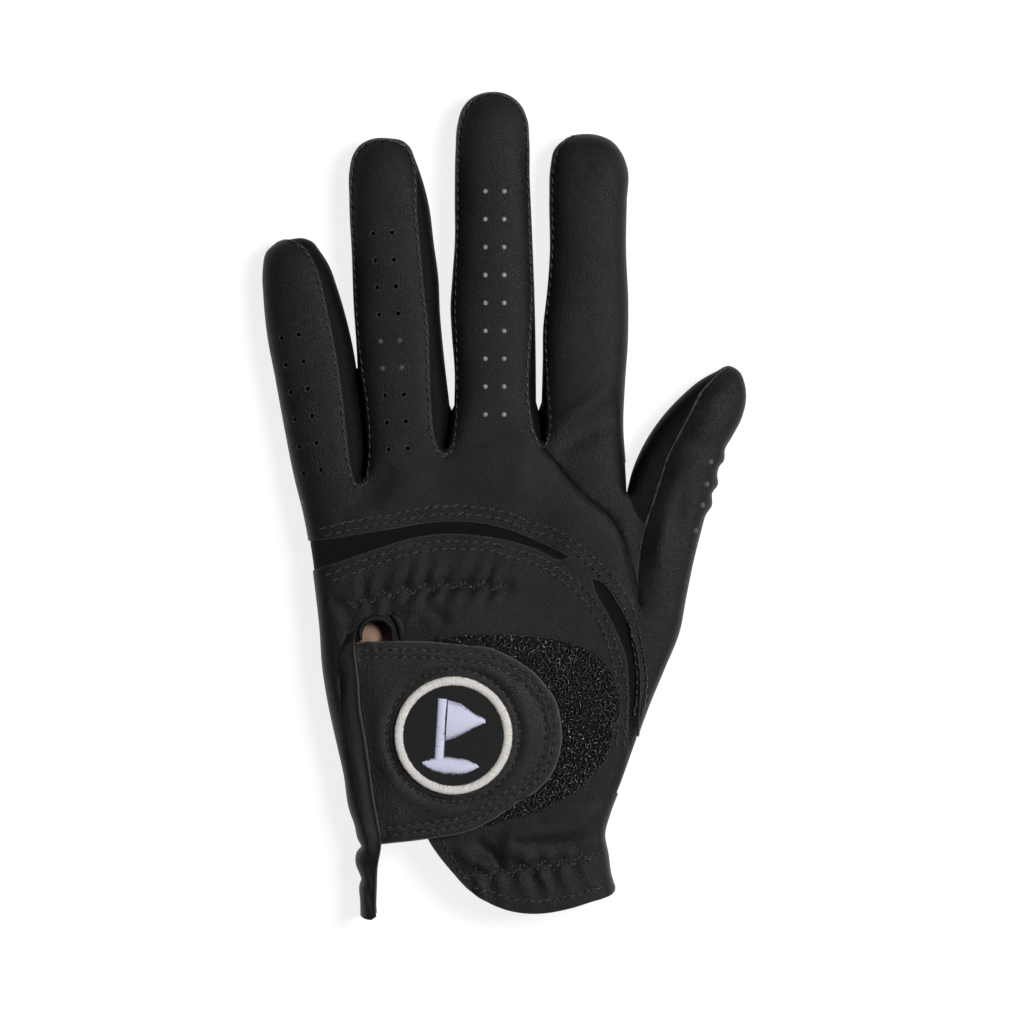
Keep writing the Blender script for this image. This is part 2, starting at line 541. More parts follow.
x, y = xy.T
smooth_top = SIDE_HEIGHT + TOP_RISE * (1 - np.exp(-puff / TOP_FULLNESS))
rim = ramp(pattern.edge_distance, 0.0, 3.0)
relief = np.zeros(len(xy))
diagonal_gap = nearest_on(xy, seams["diagonal"])[0]
relief -= 0.7 * bump(diagonal_gap, 0.6) + 0.35 * bump(diagonal_gap, 2.6)
thumb_gap, _, thumb_side = nearest_on(xy, seams["thumb"])
thumb_valley = 0.5 * bump(thumb_gap, 0.7) + 1.6 * bump(thumb_gap, 3.2)
relief -= thumb_valley * ramp(y, -30, -12) * (1 - 0.6 * ramp(y, 5, 30))
relief -= 0.28 * bump(gap_to(xy, [seams["trank"], seams["index"]]), 1.3)
relief += gathers(KNUCKLE_GATHER, height=1.25, pitch=5.25, first_peak=1.8,
                  above=5.2, below=3.6, lean=0.42)
relief += gathers(HEEL_GATHER, height=1.1, pitch=5.45, first_peak=3.4,
                  above=2.8, below=6.5, lean=-0.12)
relief -= 0.7 * bump(nearest_on(xy, smooth_line(KNUCKLE_GATHER))[0], 1.5)
relief -= 0.6 * bump(nearest_on(xy, smooth_line(HEEL_GATHER))[0], 1.4)
for line, height, width in FOLDS:
    relief += fold(line, height, width)
in_knit = inside(xy, knit_loop) | inside(xy, side_knit_loop)
knit_rim = gap_to(xy, knit.values())
relief -= KNIT_RECESS * in_knit * ramp(knit_rim, 0.1, 1.1)
relief += 0.5 * (thumb_side < 0) * np.exp(-thumb_gap / 3.5) * ramp(y, -14, 0)
rumple = np.sin(x * 0.21 + 1.7 * np.sin(y * 0.093)) * np.sin(y * 0.17 + 1.3 * np.sin(x * 0.071 + 2))
relief += 0.14 * rumple
top_z = smooth_top + relief * rim
bottom_z = np.maximum(SIDE_HEIGHT - BOTTOM_DROP * (1 - np.exp(-puff / BOTTOM_FULLNESS)), REST_Z)
creases = 0.3 * np.clip(np.sin(x * 0.32 + 2 * np.sin(y * 0.05)) * np.sin(y * 0.11 + x * 0.04) - 0.45, 0, 1)
bottom_z = bottom_z + creases * ramp(puff, 8, 14)
from_hole = np.hypot(x - HOLE_CENTRE[0], y - HOLE_CENTRE[1])
bottom_z = bottom_z + PALM_HOLLOW * bump(from_hole, PALM_HOLLOW_RADIUS) * ramp(puff, 3, 9)

count = len(xy)
form = np.vstack([np.column_stack([xy, top_z]), np.column_stack([xy, bottom_z])])
low_index = np.where(held, np.arange(count), np.arange(count) + count)
BELOW_HEM = [(-45, -130), (-45, -106)]
in_vent = inside(centres, np.vstack([vent, [(40, -100), (40, -130)], BELOW_HEM]))
no_palm = inside(centres, np.vstack([tail_hem[::-1], palm_hem[1:], [(45, -98), (45, -130)], BELOW_HEM]))
in_hole = np.any([np.hypot(*(centres - p).T) < PERFORATION for p in perforations], axis=0)
palm_faces = low_index[faces[:, ::-1]]
every_face = np.vstack([faces[~in_vent], palm_faces[~no_palm]])
normals = point_normals(form, every_face)
normals[np.linalg.norm(normals, axis=1) < 0.5] = (0, 0, 1)


# ---- Finding the surface under a plan point -----------------------------------------------------------
def tree_of(points, triangles):
    """A surface that rays can be dropped on."""
    return BVHTree.FromPolygons([Vector(p) for p in points], triangles.tolist())


def drop(tree, point):
    """The place and the normal that a ray from above meets, or None for each."""
    return tree.ray_cast(Vector((*point, ABOVE_ALL)), Vector((0, 0, -1)))[:2]


def height_of(tree, points):
    """Heights of a surface above plan points; past its edge, its lowest height."""
    found = [drop(tree, point)[0] for point in points]
    lowest = min(hit.z for hit in found if hit)
    return np.array([hit.z if hit else lowest for hit in found])


def surface_at(tree, points):
    """Heights and unit normals of a surface above plan points."""
    heights, directions = np.empty(len(points)), np.empty((len(points), 3))
    for i, point in enumerate(points):
        hit, normal = drop(tree, point)
        heights[i] = hit.z if hit else MISSED_HEIGHT
        directions[i] = normal if hit else (0, 0, 1)
    return heights, directions


back_of_hand = tree_of(form[:count], faces)
plain_back = tree_of(np.column_stack([xy, smooth_top]), faces)


# ---- Which panel each triangle belongs to ---------------------------------------------------------------
trank_loop = np.vstack([seams["trank"], seams["diagonal"][1:],
                        [(34.6, -130), (-90, -130), (-90, 75), (-58.5, 75)]])
index_loop = np.vstack([seams["index"], [(90, 98), (90, -130), (34.6, -130)], seams["diagonal"][::-1]])
thumb_loop = np.vstack([seams["thumb"], [(34.6, -130), (90, -130), (90, 60), (58, 60)]])
upper_loop = np.vstack([knit["top"], knit["side"], [(60, -75), (90, 130), (-90, 130), (-90, -9.6)]])
zone_loops = {
    "little": np.vstack([[(-90, 2)], finger_start[0], little_web[::-1], LITTLE_TO_RING,
                         [(-43, 120), (-90, 120)]]),
    "ring": np.vstack([[(-36, FINGER_START_Y), (RING_WEB_X, FINGER_START_Y), (-15.52, 15.4)],
                       ring_web[::-1], RING_TO_MIDDLE, [(-15.6, 120), (-43, 120)],
                       LITTLE_TO_RING[::-1], little_web[:-1]]),
    "middle": np.vstack([[(RING_WEB_X, FINGER_START_Y), (MIDDLE_WEB_X, FINGER_START_Y), (9.77, 17.4)],
                         middle_web[::-1], MIDDLE_TO_INDEX, [(9, 120), (-15.6, 120)],
                         RING_TO_MIDDLE[::-1], ring_web]),
    "index": np.vstack([[(MIDDLE_WEB_X, FINGER_START_Y), (32.4, FINGER_START_Y), (32.4, 120), (9, 120)],
                        MIDDLE_TO_INDEX[::-1], middle_web]),
    "thumb": np.vstack([finger_start[6], [(90, -10), (90, 60), (33, 60), (32.6, 20), (32.1, 3.2)]]),
}


def zone_at(points):
    """The finger, or the hand, that each plan point belongs to."""
    found = np.full(len(points), "hand", object)
    for name, loop in zone_loops.items():
        found[inside(points, loop)] = name
    return found


zone = zone_at(centres)
leather_kind = np.full(len(faces), "side", object)
leather_kind[inside(centres, trank_loop)] = "trank"
leather_kind[inside(centres, index_loop)] = "index"
leather_kind[inside(centres, index_loop) & inside(centres, thumb_loop)] = "thumb"
FINGER_MIDDLE = {"ring": -27, "middle": -3}


def panel_of(i):
    """The name of the leather panel that a triangle of the back is cut from."""
    where, kind = zone[i], leather_kind[i]
    if where == "hand":
        return {"trank": "knuckle_panel", "index": "index_base_panel", "thumb": "thumb_base_panel",
                "side": "crotch_gussets"}[kind]
    if where == "thumb":
        return "thumb_back" if kind == "thumb" else "thumb_side"
    if kind == "side":
        if where in FINGER_MIDDLE:
            hand_side = "left" if centres[i, 0] < FINGER_MIDDLE[where] else "right"
        else:
            hand_side = "left" if where == "index" else "right"
        return f"{where}_{hand_side}_sidewall"
    return f"{where}_back"


panel = np.array([panel_of(i) for i in range(len(faces))], object)
of_hand = zone == "hand"
lower_back = of_hand & ~inside(centres, upper_loop)
panel[lower_back & (panel != "thumb_base_panel")] = "metacarpal_panel"
panel[of_hand & inside(centres, knit_loop)] = "knuckle_knit_insert"
panel[of_hand & inside(centres, side_knit_loop)] = "side_knit_insert"
panel[in_hole | in_vent] = "cut_out"


# ---- Materials -------------------------------------------------------------------------------------------
class Shader:
    """A node material, with short calls for the nodes that the glove's surfaces use."""

    def __init__(self, name, roughness=0.5, specular=0.5, sheen=0.0):
        self.material = bpy.data.materials.new(name)
        self.material.use_nodes = True
        self.nodes, self.links = self.material.node_tree.nodes, self.material.node_tree.links
        self.principled = self.nodes["Principled BSDF"]
        self.principled.inputs["Roughness"].default_value = roughness
        self.principled.inputs["Specular IOR Level"].default_value = specular
        self.principled.inputs["Sheen Weight"].default_value = sheen
        self.principled.inputs["Sheen Roughness"].default_value = 0.4
        rest = self.nodes.new("ShaderNodeAttribute")
        rest.attribute_name = "rest_mm"
        self.place = rest.outputs["Vector"]

    def put(self, value, target):
        if isinstance(value, bpy.types.NodeSocket):
            self.links.new(value, target)
        else:
            target.default_value = value

    def texture(self, kind, place=None, **inputs):
        """A texture or mapping node laid on the piece's rest shape, in millimetres."""
        node = self.nodes.new(kind)
        for key, value in inputs.items():
            node.inputs[key].default_value = value
        self.links.new(place or self.place, node.inputs["Vector"])
        return node

    def noise(self, scale, detail):
        return self.texture("ShaderNodeTexNoise", Scale=scale, Detail=detail).outputs["Fac"]

    def cells(self, scale, feature, place=None):
        node = self.texture("ShaderNodeTexVoronoi", place, Scale=scale)
        node.feature = feature
        return node.outputs["Distance"]

    def waves(self, scale, direction, distortion=0.0, place=None):
        node = self.texture("ShaderNodeTexWave", place, Scale=scale, Distortion=distortion)
        node.bands_direction = direction
        return node.outputs["Fac"]

    def stretched(self, scale, turn=0.0):
        return self.texture("ShaderNodeMapping", Scale=scale, Rotation=(0, 0, turn)).outputs["Vector"]

    def span(self, value, low, high, from_low, from_high):
        node = self.nodes.new("ShaderNodeMapRange")
        limits = {"From Min": from_low, "From Max": from_high, "To Min": low, "To Max": high}
        for key, number in limits.items():
            node.inputs[key].default_value = number
        self.put(value, node.inputs["Value"])
        return node.outputs["Result"]

    def math(self, operation, a, b):
        node = self.nodes.new("ShaderNodeMath")
        node.operation = operation
        self.put(a, node.inputs[0])
        self.put(b, node.inputs[1])
        return node.outputs[0]

    def weighted(self, a, share_a, b, share_b):
        """A weighted sum of two values."""
        return self.math("ADD", self.math("MULTIPLY", a, share_a), self.math("MULTIPLY", b, share_b))

    def colours(self, value, stops):
        node = self.nodes.new("ShaderNodeValToRGB")
        ramp_stops = node.color_ramp.elements
        while len(ramp_stops) < len(stops):
            ramp_stops.new(0.5)
        for stop, (at, colour) in zip(ramp_stops, stops):
            stop.position = at
            stop.color = (*colour, 1)
        self.put(value, node.inputs["Fac"])
        return node.outputs["Color"]

    def blend_colours(self, amount, a, b):
        node = self.nodes.new("ShaderNodeMix")
        node.data_type = "RGBA"
        self.put(amount, node.inputs[0])
        for key, colour in ((6, a), (7, b)):
            if isinstance(colour, bpy.types.NodeSocket):
                self.links.new(colour, node.inputs[key])
            else:
                node.inputs[key].default_value = (*colour, 1)
        return node.outputs[2]

    def amount(self, name):
        node = self.nodes.new("ShaderNodeAttribute")
        node.attribute_name = name
        return node.outputs["Fac"]

    def finish(self, colour, roughness, height, depth_mm, strength):
        self.links.new(colour, self.principled.inputs["Base Color"])
        if roughness is not None:
            self.links.new(roughness, self.principled.inputs["Roughness"])
        node = self.nodes.new("ShaderNodeBump")
        node.inputs["Strength"].default_value = strength
        node.inputs["Distance"].default_value = depth_mm * MM
        self.links.new(height, node.inputs["Height"])
        self.links.new(node.outputs["Normal"], self.principled.inputs["Normal"])
        return self.material


def leather_material(name="glove_leather", tone=1.0, gloss=0.0, edge=0.045, shine=0.2):
    """Fine-grained black leather: pebbles, pores, faint mottling, and greyer raw edges."""
    s = Shader(name, specular=shine)
    pebble = s.cells(2.2, "SMOOTH_F1", place=s.stretched((1, 1.15, 1)))
    creases = s.cells(1.5, "DISTANCE_TO_EDGE")
    fine = s.noise(4.5, 3)
    height = s.weighted(pebble, -0.9, fine, 0.75)
    height = s.math("ADD", height, s.span(creases, -0.35, 0.0, 0.0, 0.12))
    mottle = s.noise(0.09, 4)
    speck = s.noise(2.2, 2)
    base = s.colours(s.weighted(mottle, 0.6, speck, 0.4),
                     [(0.3, (0.0040 * tone, 0.0039 * tone, 0.0040 * tone)),
                      (0.7, (0.0078 * tone, 0.0075 * tone, 0.0074 * tone))])
    worn = s.math("MULTIPLY", s.amount("raw_edge"), 0.75)
    colour = s.blend_colours(worn, base, (edge, 0.96 * edge, 0.94 * edge))
    rough = s.span(s.weighted(mottle, 0.5, fine, 0.5), 0.45 - gloss, 0.54 - gloss, 0.3, 0.7)
    return s.finish(colour, rough, height, depth_mm=0.17, strength=0.7)


def suede_material(name, dark, light):
    """The flesh side of leather: brushed nap with soft patches."""
    s = Shader(name, roughness=0.95, specular=0.12, sheen=0.25)
    nap = s.noise(2.6, 5)
    patch = s.noise(0.25, 2)
    colour = s.colours(s.weighted(nap, 0.5, patch, 0.5), [(0.3, dark), (0.7, light)])
    return s.finish(colour, None, nap, depth_mm=0.12, strength=0.6)


def knit_material():
    """Stretch knit: diagonal rows of small loops."""
    s = Shader("stretch_knit", roughness=0.92, specular=0.15, sheen=0.12)
    turned = s.stretched((1, 1, 1), turn=0.5)
    rows = s.waves(0.55, "X", place=turned)
    loops = s.waves(0.42, "Y", distortion=1.5, place=turned)
    lint = s.noise(1.9, 4)
    height = s.weighted(rows, loops, lint, 0.5)
    colour = s.colours(height, [(0.1, (0.0010, 0.0009, 0.0010)), (0.9, (0.0068, 0.0062, 0.0064))])
    return s.finish(colour, None, height, depth_mm=0.2, strength=0.9)


def thread_material(name, colour, gloss=0.45, twist=0.9, shine=0.45):
    """Twisted sewing thread: a fine slanting ply and lint."""
    s = Shader(name, roughness=gloss, specular=shine, sheen=0.1)
    ply = s.waves(1.6, "DIAGONAL", distortion=0.6)
    lint = s.noise(3.0, 2)
    light = tuple(min(1.0, 1.35 * c + 0.004) for c in colour)
    dark = tuple(0.6 * c for c in colour)
    shade = s.colours(s.weighted(ply, 0.65, lint, 0.35), [(0.2, dark), (0.8, light)])
    return s.finish(shade, None, ply, depth_mm=0.05, strength=twist)


def fabric_material(name, dark, light, across=1.1, along=1.1):
    """A woven or ribbed tape: two sets of fine bands."""
    s = Shader(name, roughness=0.9, specular=0.25, sheen=0.1)
    bands = s.waves(across, "X")
    weft = s.waves(along, "Y")
    lint = s.noise(2.4, 3)
    height = s.weighted(s.math("MAXIMUM", bands, weft), 0.8, lint, 0.4)
    colour = s.colours(height, [(0.25, dark), (0.95, light)])
    return s.finish(colour, None, height, depth_mm=0.12, strength=0.8)


LEATHER_BLACK = leather_material()
LEATHER_BINDING = leather_material("binding_leather", edge=0.12)
LEATHER_SIDE = leather_material("sidewall_leather", tone=0.6, gloss=-0.06, shine=0.09)
LEATHER_THUMB = leather_material("thumb_inner_leather", tone=0.6, edge=0.11, shine=0.05)
LEATHER_TAB = leather_material("tab_leather", tone=1.1, gloss=0.05, edge=0.10, shine=0.24)
SUEDE_BLACK = suede_material("leather_reverse", (0.018, 0.016, 0.015), (0.04, 0.036, 0.034))
SUEDE_BROWN = suede_material("palm_reverse", (0.30, 0.19, 0.135), (0.52, 0.35, 0.26))
TAUPE = suede_material("palm_reverse_close", (0.24, 0.20, 0.175), (0.46, 0.40, 0.36))
TAUPE_DEEP = suede_material("palm_reverse_deep", (0.07, 0.055, 0.047), (0.15, 0.12, 0.105))
RAW_EDGE = suede_material("raw_leather_edge", (0.012, 0.012, 0.012), (0.03, 0.029, 0.028))
NEEDLE_HOLE = suede_material("needle_hole", (0.0004, 0.0004, 0.0004), (0.0008, 0.0008, 0.0008))
KNIT = knit_material()
THREAD_GREY = thread_material("dark_thread", (0.03, 0.03, 0.031))
BORDER = thread_material("border_thread", (0.66, 0.63, 0.60), gloss=0.6)
SATIN = thread_material("emblem_thread", (0.60, 0.62, 0.84), gloss=0.42, twist=0.5)
TWILL = fabric_material("badge_twill", (0.0008, 0.0008, 0.001), (0.015, 0.015, 0.016),
                        across=0.5, along=0.8)
PILE = fabric_material("loop_backing", (0.0008, 0.0008, 0.0008), (0.004, 0.004, 0.004))
PILE_LOOP = thread_material("loop_pile", (0.005, 0.005, 0.0053), gloss=0.17, shine=1.0)
HOOK = thread_material("hook_tape", (0.008, 0.008, 0.009), gloss=0.4)
ELASTIC = fabric_material("elastic_tape", (0.006, 0.006, 0.006), (0.02, 0.02, 0.021),
                          across=1.4, along=0.4)


# ---- Making pieces ---------------------------------------------------------------------------------------
FINGER_BEND = {
    "little": ("little_finger", (0, 7.4, 0), (0, 20, 0)),
    "ring": ("ring_finger", (0, FINGER_START_Y, 0), (0, 27, 0)),
    "middle": ("middle_finger", (0, FINGER_START_Y, 0), (0, 27, 0)),
    "index": ("index_finger", (0, FINGER_START_Y, 0), (0, 27, 0)),
    "thumb": ("thumb", (42.6, -0.55, 0), (47.6, 13.6, 0)),
}


def mesh_object(name, points, polygons, materials, slots=None, loop_normals=None, edge=None):
    """A smooth-shaded mesh from points in millimetres; edge is how raw each point's leather is."""
    mesh = bpy.data.meshes.new(name)
    points = np.asarray(points, float)
    if isinstance(polygons, np.ndarray):
        polygons = polygons.tolist()
    mesh.from_pydata((points * MM).tolist(), [], polygons)
    for material in materials:
        mesh.materials.append(material)
    if slots is not None:
        mesh.polygons.foreach_set("material_index", np.asarray(slots, np.int32))
    mesh.polygons.foreach_set("use_smooth", np.ones(len(mesh.polygons), bool))
    stored = mesh.attributes.new("rest_mm", "FLOAT_VECTOR", "POINT")
    stored.data.foreach_set("vector", points.astype(np.float32).ravel())
    if edge is not None:
        stored = mesh.attributes.new("raw_edge", "FLOAT", "POINT")
        stored.data.foreach_set("value", np.asarray(edge, np.float32))
    if loop_normals is not None:
        mesh.normals_split_custom_set(loop_normals.tolist())
    mesh.update()
    piece = bpy.data.objects.new(name, mesh)
    bpy.context.scene.collection.objects.link(piece)
    return piece


def attach(piece, where):
    """Rides on the hand or the tab, or bends at a finger's root."""
    if where in FINGER_BEND:
        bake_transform(piece)
    else:
        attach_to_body(piece, where)


def cut_panel(name, tris, lift, thickness, materials, real_edges=None):
    """A panel of the form, given thickness: face side, flesh side and the cut edge between them."""
    used, local = np.unique(tris, return_inverse=True)
    local = local.reshape(tris.shape)
    p, n = form[used], normals[used]
    edges = open_edges(local)
    on_rim = np.zeros(len(used), bool)
    on_rim[edges.ravel()] = True
    if real_edges is not None:
        on_rim &= real_edges[used]
    face_side = p + n * (lift - LIP * on_rim)[:, None]
    flesh_side = p + n * (lift - thickness)
    size = len(used)
    ring = edges.ravel()
    rim_points = np.vstack([face_side[ring], flesh_side[ring]])
    half = len(ring)
    start = 2 * size + np.arange(0, half, 2)
    rims = np.column_stack([start + 1, start, start + half, start + half + 1])
    every = np.vstack([face_side, flesh_side, rim_points])
    polygons = local.tolist() + (local[:, ::-1] + size).tolist() + rims.tolist()
    slots = np.concatenate([np.zeros(len(local)), np.ones(len(local)), np.full(len(rims), 2)])
    corner = [every[rims[:, k]] for k in range(4)]
    rim_normal = unit(np.cross(corner[2] - corner[0], corner[3] - corner[1]))
    loops = np.vstack([n[local.ravel()], -n[local[:, ::-1].ravel()], np.repeat(rim_normal, 4, axis=0)])
    edge = np.concatenate([on_rim, on_rim, np.ones(len(rim_points))])
    return mesh_object(name, every, polygons, materials, slots, loops, edge)


WRIST_EDGE = smooth_line(LEFT_EDGE[-6:])
real_edge = np.tile(gap_to(xy, cut_lines + [WRIST_EDGE] + circles) < 0.02, 2)
KNIT_THICKNESS = 0.5
KNIT_LIFT = OVERLAP_LIFT - LEATHER + 0.03
NO_CAD_NODE = {"crotch_gussets"}
for name in sorted(set(panel) - {"cut_out"}):
    chosen = panel == name
    if name.endswith("knit_insert"):
        piece = cut_panel(name + "_knit", faces[chosen], KNIT_LIFT, KNIT_THICKNESS, [KNIT] * 3)
        attach(piece, "hand")
    else:
        lowest = "sidewall" in name or "gusset" in name
        raised = 0.0 if lowest else OVERLAP_LIFT
        if leather_kind[chosen][0] in ("index", "thumb"):
            raised = OVERLAP_LIFT * 0.6
        face = LEATHER_SIDE if raised == 0.0 else LEATHER_BLACK
        if name == "thumb_side":
            face = LEATHER_THUMB
        leathers = [face, SUEDE_BLACK, RAW_EDGE]
        piece = cut_panel(name + "_leather", faces[chosen], raised, LEATHER, leathers, real_edge)
        attach(piece, zone[chosen][0])
    if name not in NO_CAD_NODE:
        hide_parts(name)

for where in ("hand", *FINGER_BEND):
    chosen = (zone == where) & ~no_palm
    name = "palm_panel" if where == "hand" else f"{where}_palm"
    leathers = [LEATHER_BLACK, SUEDE_BROWN, RAW_EDGE]
    piece = cut_panel(name + "_leather", palm_faces[chosen], 0.0, LEATHER, leathers, real_edge)
    attach(piece, where)
    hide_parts(name)


# ---- Threads, bindings and tapes -------------------------------------------------------------------------
def tube_faces(threads, steps, sides):
    """The walls and the two end caps of closed tubes, whose rings of points follow each other."""
    base = np.arange(threads)[:, None] * steps * sides
    first = base[..., None] + np.arange(steps - 1)[:, None] * sides
    a, b = first + np.arange(sides), first + (np.arange(sides) + 1) % sides
    quads = np.stack([a, b, b + sides, a + sides], axis=-1).reshape(-1, 4)
    starts = base + np.arange(sides)[::-1]
    ends = base + (steps - 1) * sides + np.arange(sides)
    return quads.tolist() + starts.tolist() + ends.tolist()


def tubes(paths, radius, sides=6, taper=0.45):
    """Many round threads at once: paths is (threads, steps, 3), and the answer is points and faces."""
    threads, steps, _ = paths.shape
    run = unit(np.gradient(paths, axis=1))
    side = np.cross(run, (0, 0, 1.0))
    side[np.linalg.norm(side, axis=2) < 1e-3] = (1, 0, 0)
    side = unit(side)
    up = np.cross(side, run)
    profile = np.ones(steps)
    profile[[0, -1]] = taper
    angle = np.arange(sides) * 2 * math.pi / sides
    ring = np.cos(angle)[:, None] * side[:, :, None, :] + np.sin(angle)[:, None] * up[:, :, None, :]
    points = paths[:, :, None, :] + radius * profile[:, None, None] * ring
    return points.reshape(-1, 3), tube_faces(threads, steps, sides)


def join(parts):
    """Several (points, faces, slot) groups as one set of points, faces and slots."""
    points, polygons, slots, offset = [], [], [], 0
    for some, polys, slot in parts:
        points.append(some)
        polygons += [[i + offset for i in poly] for poly in polys]
        slots += [slot] * len(polys)
        offset += len(some)
    return np.vstack(points), polygons, slots


def sweep(line, section):
    """A solid strip: section is a closed list of (across, up) for each step of a 3-D line."""
    up = np.array((0, 0, 1.0))
    side = unit(np.cross(unit(np.gradient(line, axis=0)), up))
    section = np.asarray(section, float)
    if section.ndim == 2:
        section = np.repeat(section[None], len(line), axis=0)
    points = line[:, None] + section[..., :1] * side[:, None] + section[..., 1:] * up
    return points.reshape(-1, 3), tube_faces(1, *section.shape[:2])


def oval(width, height, count=12):
    """The section of a rolled edge."""
    angle = np.arange(count) * 2 * math.pi / count
    return np.column_stack([width / 2 * np.cos(angle), height / 2 * np.sin(angle)])


def run_of_stitches(line, tree, lift, pitch=STITCH_PITCH, length=STITCH_LENGTH, start=0.6):
    """Stitches along a line on a surface: arched threads and the needle holes between them."""
    total = arc_length(line)[-1]
    first = np.arange(start, total - length, pitch)
    first = first + random.uniform(-0.09, 0.09, len(first))
    t = np.linspace(0, 1, THREAD_STEPS)
    place, heading = along_line(line, (first[:, None] + t * length).ravel())
    heights, facing = surface_at(tree, place)
    arch = np.tile(np.sin(np.pi * t) ** 0.7, len(first))
    above = lift - THREAD * 1.1 + arch * THREAD * 2.0
    slant = np.tile(np.array([-0.5, -0.3, -0.1, 0.1, 0.3, 0.5]) * STITCH_SLANT, len(first))[:, None]
    sideways = np.column_stack([-heading[:, 1], heading[:, 0]])
    path = np.column_stack([place + slant * sideways, heights]) + facing * above[:, None]

    def at_ends(values):
        """The values at the two ends of each stitch."""
        size = values.shape[1]
        return values.reshape(-1, THREAD_STEPS, size)[:, [0, -1]].reshape(-1, size)

    hole_facing = at_ends(facing)
    holes = at_ends(path) + hole_facing * (THREAD * 1.1 + 0.03)
    return path.reshape(-1, THREAD_STEPS, 3), holes, hole_facing, at_ends(heading)


def needle_holes(spots, facing, heading):
    """Small dark oval pits, as shallow closed cones around each needle hole."""
    count, sides = len(spots), 8
    along = np.column_stack([heading, np.zeros(count)])
    along = unit(along - (along * facing).sum(1)[:, None] * facing)
    across = np.cross(facing, along)
    angle = np.arange(sides)[:, None] * math.pi / 4
    half_length, half_width = NEEDLE_HOLE_SIZE
    ring = (spots[:, None] + half_length * np.cos(angle) * along[:, None]
            + half_width * np.sin(angle) * across[:, None])
    tip = spots - 0.35 * facing
    points = np.concatenate([ring, tip[:, None]], axis=1).reshape(-1, 3)
    polygons = []
    for base in range(0, count * (sides + 1), sides + 1):
        polygons.append([base + k for k in range(sides)])
        polygons += [[base + (k + 1) % sides, base + k, base + sides] for k in range(sides)]
    return points, polygons


class Stitching:
    """Collects runs of stitches and makes one piece of thread for each body they are sewn to."""

    def __init__(self):
        self.runs = []

    def add(self, line, tree, lift, **how):
        self.runs.append(run_of_stitches(line, tree, lift, **how))

    def pieces(self, name, where=None):
        threads, holes, facing, heading = (np.concatenate(part) for part in zip(*self.runs))
        owner = zone_at(threads[:, 2, :2]) if where is None else np.full(len(threads), where, object)
        for body in sorted(set(owner)):
            mine = owner == body
            twice = np.repeat(mine, 2)
            parts = [(*tubes(threads[mine], THREAD), 0),
                     (*needle_holes(holes[twice], facing[twice], heading[twice]), 1)]
            points, polygons, slots = join(parts)
            label = name if where else f"{body}_{name}"
            piece = mesh_object(label, points, polygons, [THREAD_GREY, NEEDLE_HOLE], slots)
            attach(piece, body)


def zigzag(peaks, troughs):
    """The corner points of a zigzag that runs between two lists."""
    mixed = []
    for i in range(max(len(peaks), len(troughs))):
        mixed += peaks[i:i + 1] + troughs[i:i + 1]
    return np.array(mixed, float)


# ---- Seams sewn on the back -----------------------------------------------------------------------------
UPPER_ROW = [(-48.2, -6.4), (-43.3, -5.1), (-35.8, -3.6), (-28.5, -2.3), (-20.7, -0.8), (-13.1, -0.3),
             (-5.6, -0.8), (2.5, -2.6), (6.6, -4.7), (12.6, -6.2), (19.4, -10.7), (25.4, -16.1),
             (29.3, -20.5), (32.5, -25.7), (35.2, -35.6), (36.3, -42.4), (36, -50.4), (34.6, -56)]
LOWER_ROW = [(-46.8, -18.4), (-41, -16.1), (-31.9, -12.7), (-22.2, -10.1), (-16.6, -9.4), (-11.1, -9.4),
             (-2.7, -10.1), (2.9, -11.8), (9, -13.5), (15, -17.4), (20.7, -21.8), (25.4, -28.1),
             (28.5, -35.4), (30, -41.3), (31.3, -46.5), (31.4, -54), (30.6, -62)]
ROW_GAP = 2.0
backs = Stitching()
for row in (trank_row, index_row):
    backs.add(row, back_of_hand, OVERLAP_LIFT)
for row in (UPPER_ROW, LOWER_ROW):
    line = smooth_line(row)
    backs.add(line, back_of_hand, OVERLAP_LIFT, length=1.55)
    backs.add(parallel(line, -ROW_GAP), back_of_hand, OVERLAP_LIFT, length=1.55, start=1.5)

KNUCKLE_PEAKS = [(-40.9, -24.6), (-36.9, -23.9), (-31.6, -22.2), (-26.3, -20.9), (-21.2, -20.1),
                 (-16, -19.4), (-10.9, -19.2), (-5.8, -19.4), (-0.7, -19.8)]
KNUCKLE_TROUGHS = [(-39, -27), (-34, -25.6), (-28.9, -24.4), (-23.7, -23.4), (-18.5, -22.6),
                   (-13.4, -22.1), (-8.3, -22.2), (-3.2, -22.5), (0.9, -21.6)]
HEEL_PEAKS = [(-12.1, -94.1), (-7.4, -93.6), (-2, -93.3), (4.3, -92.3), (10, -91.5), (15.2, -91),
              (19.6, -90), (23, -88.9)]
HEEL_TROUGHS = [(-9.2, -97), (-3.8, -96.7), (2, -96.2), (7.7, -95.4), (12.9, -94.5), (17.6, -93.6),
                (21.5, -92.3)]
SLIT_EDGE = [(-16.6, -86.3), (-14.7, -89.4), (-12.6, -92.7), (-11.3, -95.4), (-7.9, -98.7), (-3.8, -99.9),
             (2.2, -101.9), (8.2, -102.4), (13.7, -101.6), (18.6, -100.8), (21.5, -99.8), (25.9, -98.8)]
for peaks, troughs in ((KNUCKLE_PEAKS, KNUCKLE_TROUGHS), (HEEL_PEAKS, HEEL_TROUGHS)):
    backs.add(zigzag(peaks, troughs), back_of_hand, OVERLAP_LIFT, pitch=1.75, length=1.15, start=0.1)
backs.add(smooth_line(SLIT_EDGE), back_of_hand, OVERLAP_LIFT, pitch=2.1, length=1.45)
backs.pieces("stitches")


